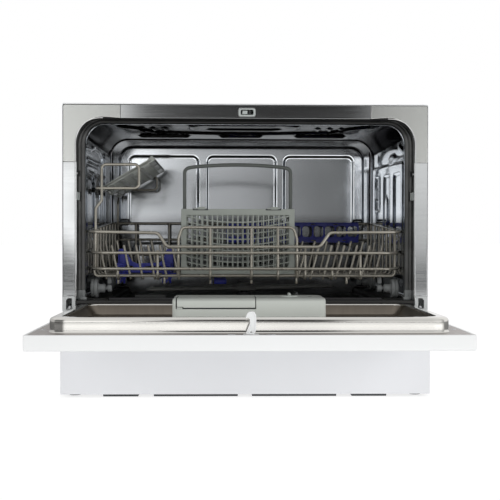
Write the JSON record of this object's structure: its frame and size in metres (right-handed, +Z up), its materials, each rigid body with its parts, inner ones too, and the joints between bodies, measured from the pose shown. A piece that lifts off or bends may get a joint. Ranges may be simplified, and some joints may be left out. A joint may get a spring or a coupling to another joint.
{
  "type": "countertop dishwasher",
  "caption": "Compact free-standing dishwasher with a fold-down door, stainless tub, roll-out wire rack, cutlery basket, folding shelves, spray arm and soap dispenser.",
  "frame": {"origin": "middle of the whole outline with the door folded down, at the surface that the feet stand on", "axes": "+Z up, the door folds down towards -Y, the back with the water connections faces +Y, +X is to the right seen from the front"},
  "size_m": [0.55, 0.788, 0.438],
  "materials": {
    "white_paint": "semi-gloss white paint",
    "white_plastic": "moulded satin white",
    "key_plastic": "satin light grey",
    "zinc_sheet": "galvanised",
    "dark_plastic": "moulded",
    "black_rubber": "matte",
    "frame_steel": "brushed along the width",
    "tub_steel": "pressed and brushed",
    "liner_steel": "brushed",
    "bare_steel": "plated",
    "grey_plastic": "moulded",
    "black_gloss": "polished",
    "board_green": "solder mask",
    "dispenser_plastic": "satin grey-green",
    "rack_coating": "nylon-coated wire, warm grey",
    "blue_plastic": "moulded deep blue",
    "basket_plastic": "moulded grey-green"
  },
  "bodies": {
    "cabinet": {"base_pan": "dark_plastic", "rubber_feet": "black_rubber", "left_side_panel": "white_paint", "right_side_panel": "white_paint", "top_panel": "white_paint", "back_panel": "zinc_sheet", "lower_front_panel": "white_plastic", "top_frame_strip": "frame_steel", "frame_corner_plates": "frame_steel", "side_frame_strips": "frame_steel", "tub": "tub_steel", "door_gasket": "black_rubber", "sill_seal": "black_rubber", "latch_housing": "white_plastic", "hinge_brackets": "grey_plastic", "hinge_pins": "bare_steel", "door_springs": "bare_steel", "sump": "dark_plastic", "circulation_pump": "dark_plastic", "drain_pump": "dark_plastic", "inlet_valve": "white_plastic", "drain_spigot": "dark_plastic", "water_softener": "white_plastic", "cable_gland": "dark_plastic", "flat_filter": "tub_steel"},
    "catch": {"latch_catch": "bare_steel"},
    "salt_lid": {"salt_cap": "white_plastic"},
    "filter": {"filter_cup": "grey_plastic"},
    "spray": {"spray_arm": "dark_plastic"},
    "door": {"door_outer_panel": "white_paint", "control_fascia": "white_plastic", "display_window": "black_gloss", "control_board": "board_green", "door_inner_liner": "liner_steel", "hinge_arms": "bare_steel", "door_hook": "white_plastic", "door_screws": "bare_steel", "dispenser_housing": "dispenser_plastic"},
    "soap_lid": {"detergent_lid": "dispenser_plastic"},
    "rinse_cap": {"rinse_aid_cap": "dispenser_plastic"},
    "key_power": {"power_button": "key_plastic"},
    "key_program": {"program_button": "key_plastic"},
    "key_delay": {"delay_button": "key_plastic"},
    "key_start": {"start_button": "key_plastic"},
    "rack": {"rack_rim_wires": "rack_coating", "rack_cross_wires": "rack_coating", "rack_long_wires": "rack_coating", "rack_tines": "rack_coating", "cup_shelf_bracket": "rack_coating", "bowl_support": "blue_plastic", "roller_axles": "grey_plastic"},
    "wheel_fl": {"roller_front_left": "grey_plastic"},
    "wheel_fr": {"roller_front_right": "grey_plastic"},
    "wheel_rl": {"roller_rear_left": "grey_plastic"},
    "wheel_rr": {"roller_rear_right": "grey_plastic"},
    "cup_tray": {"cup_shelf": "grey_plastic"},
    "rear_tray": {"rear_shelf": "blue_plastic"},
    "basket": {"cutlery_basket": "basket_plastic", "cutlery_handle": "basket_plastic"}
  },
  "joints": [
    {"name": "door_hinge", "type": "hinge", "parent": "cabinet", "child": "door", "pos_m": [0, -0.088, 0.13], "axis": [-1, 0, 0], "range_deg": [0, 90]},
    {"name": "rack_slide", "type": "slide", "parent": "cabinet", "child": "rack", "axis": [0, 1, 0], "range_m": [-0.3, 0]},
    {"name": "roller_fl", "type": "hinge", "parent": "rack", "child": "wheel_fl", "pos_m": [-0.228, -0.038, 0.158], "axis": [1, 0, 0], "continuous": true},
    {"name": "roller_fr", "type": "hinge", "parent": "rack", "child": "wheel_fr", "pos_m": [0.228, -0.038, 0.158], "axis": [1, 0, 0], "continuous": true},
    {"name": "roller_rl", "type": "hinge", "parent": "rack", "child": "wheel_rl", "pos_m": [-0.228, 0.202, 0.158], "axis": [1, 0, 0], "continuous": true},
    {"name": "roller_rr", "type": "hinge", "parent": "rack", "child": "wheel_rr", "pos_m": [0.228, 0.202, 0.158], "axis": [1, 0, 0], "continuous": true},
    {"name": "cup_shelf_fold", "type": "hinge", "parent": "rack", "child": "cup_tray", "pos_m": [-0.223, 0.097, 0.313], "axis": [0, -1, 0], "range_deg": [-30, 50]},
    {"name": "rear_shelf_fold", "type": "hinge", "parent": "rack", "child": "rear_tray", "pos_m": [0.1, 0.253, 0.231], "axis": [-1, 0, 0], "range_deg": [-90, 0]},
    {"name": "cutlery_basket_lift", "type": "slide", "parent": "rack", "child": "basket", "axis": [0, 0, 1], "range_m": [0, 0.05]},
    {"name": "spray_arm_spin", "type": "hinge", "parent": "cabinet", "child": "spray", "pos_m": [0, 0.097, 0.153], "axis": [0, 0, 1], "continuous": true},
    {"name": "filter_cup_twist", "type": "hinge", "parent": "cabinet", "child": "filter", "pos_m": [0.088, 0.097, 0.137], "axis": [0, 0, 1], "range_deg": [0, 60]},
    {"name": "salt_cap_twist", "type": "hinge", "parent": "cabinet", "child": "salt_lid", "pos_m": [-0.15, -0.002, 0.137], "axis": [0, 0, 1], "range_deg": [0, 90]},
    {"name": "latch_catch_slide", "type": "slide", "parent": "cabinet", "child": "catch", "axis": [1, 0, 0], "range_m": [-0.0025, 0], "stiffness_N_per_m": 300, "springref_m": 0.001},
    {"name": "detergent_lid_slide", "type": "slide", "parent": "door", "child": "soap_lid", "axis": [0, 1, 0], "range_m": [-0.05, 0]},
    {"name": "rinse_aid_cap_twist", "type": "hinge", "parent": "door", "child": "rinse_cap", "pos_m": [0.054, -0.27, 0.157], "axis": [0, 0, 1], "range_deg": [0, 90]},
    {"name": "power_button_press", "type": "slide", "parent": "door", "child": "key_power", "axis": [0, 0, 1], "range_m": [0, 0.0015], "stiffness_N_per_m": 250, "springref_m": -0.001},
    {"name": "program_button_press", "type": "slide", "parent": "door", "child": "key_program", "axis": [0, 0, 1], "range_m": [0, 0.0015], "stiffness_N_per_m": 250, "springref_m": -0.001},
    {"name": "delay_button_press", "type": "slide", "parent": "door", "child": "key_delay", "axis": [0, 0, 1], "range_m": [0, 0.0015], "stiffness_N_per_m": 250, "springref_m": -0.001},
    {"name": "start_button_press", "type": "slide", "parent": "door", "child": "key_start", "axis": [0, 0, 1], "range_m": [0, 0.0015], "stiffness_N_per_m": 250, "springref_m": -0.001}
  ],
  "couplings": [
    {"joint": "roller_fl", "follows": "rack_slide", "rad_per_m": -66.667},
    {"joint": "roller_fr", "follows": "rack_slide", "rad_per_m": -66.667},
    {"joint": "roller_rl", "follows": "rack_slide", "rad_per_m": -66.667},
    {"joint": "roller_rr", "follows": "rack_slide", "rad_per_m": -66.667}
  ]
}
